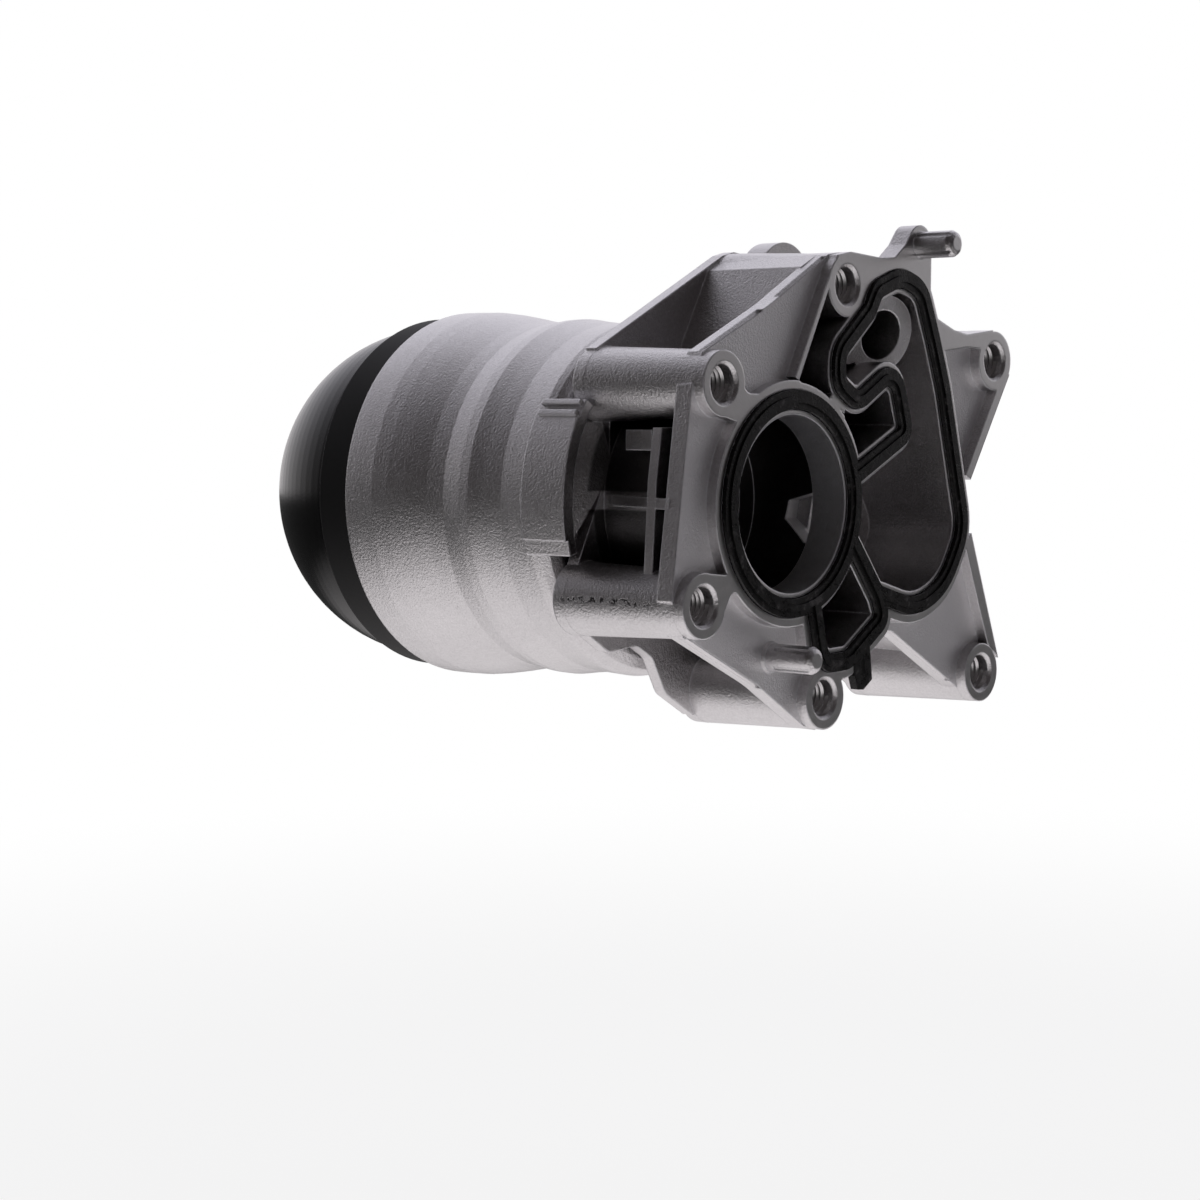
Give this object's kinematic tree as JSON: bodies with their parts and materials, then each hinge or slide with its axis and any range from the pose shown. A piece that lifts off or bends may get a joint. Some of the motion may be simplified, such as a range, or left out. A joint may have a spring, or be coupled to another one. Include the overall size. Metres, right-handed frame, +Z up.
{
  "type": "oil filter housing",
  "caption": "Cast oil filter housing with a star-shaped flange, moulded gasket, locating pins, a domed screw cap and a pleated cartridge inside.",
  "frame": {"origin": "centre of the main port on the plane of the sealing face", "axes": "+X out of the flange along the axis of the can, +Y to the right of the flange seen from its face, +Z up"},
  "size_m": [0.1645, 0.1389, 0.12],
  "materials": {
    "cast_body": "die-cast, fine blasted grain, machined on the sealing face",
    "gasket_rubber": "moulded, satin",
    "cap_plastic": "moulded, satin",
    "seal_rubber": "moulded",
    "spring_steel": "drawn wire or strip",
    "filter_paper": "pleated paper",
    "core_plastic": "moulded",
    "disc_plastic": "moulded",
    "tube_plastic": "moulded",
    "valve_brass": "turned",
    "valve_steel": "pressed"
  },
  "bodies": {
    "housing_body": {"housing": "cast_body", "flange_gasket": "gasket_rubber", "centre_tube": "tube_plastic", "tube_retainer": "spring_steel", "bypass_seat": "valve_brass", "bypass_guide": "valve_brass", "bypass_spring": "spring_steel", "check_seat": "valve_brass", "check_cage": "valve_steel", "check_spring": "spring_steel"},
    "cartridge_body": {"pleated_paper": "filter_paper", "cartridge_core": "core_plastic", "inner_disc": "disc_plastic", "outer_disc": "disc_plastic", "inner_lip_seal": "seal_rubber", "outer_lip_seal": "seal_rubber", "cap_spring": "spring_steel"},
    "seal_body": {"cap_seal_ring": "seal_rubber"},
    "cap_body": {"screw_cap": "cap_plastic"},
    "poppet_body": {"bypass_poppet": "valve_steel"},
    "check_body": {"check_disc": "seal_rubber"}
  },
  "joints": [
    {"name": "element_lift", "type": "slide", "parent": "housing_body", "child": "cartridge_body", "axis": [-1, 0, 0], "range_m": [0, 0.09]},
    {"name": "cap_travel", "type": "slide", "parent": "cartridge_body", "child": "seal_body", "axis": [-1, 0, 0], "range_m": [0, 0.0121], "deforming": ["cap_spring"]},
    {"name": "cap_turn", "type": "hinge", "parent": "seal_body", "child": "cap_body", "pos_m": [-0.1, 0, 0], "axis": [-1, 0, 0], "range_deg": [0, 1440]},
    {"name": "bypass_lift", "type": "slide", "parent": "housing_body", "child": "poppet_body", "axis": [1, 0, 0], "range_m": [0, 0.005], "stiffness_N_per_m": 1500, "springref_m": -0.008, "deforming": ["bypass_spring"]},
    {"name": "check_lift", "type": "slide", "parent": "housing_body", "child": "check_body", "axis": [-1, 0, 0], "range_m": [0, 0.004], "stiffness_N_per_m": 60, "springref_m": -0.005, "deforming": ["check_spring"]}
  ],
  "couplings": [
    {"joint": "cap_travel", "follows": "cap_turn", "m_per_rad": 0.00047746}
  ]
}
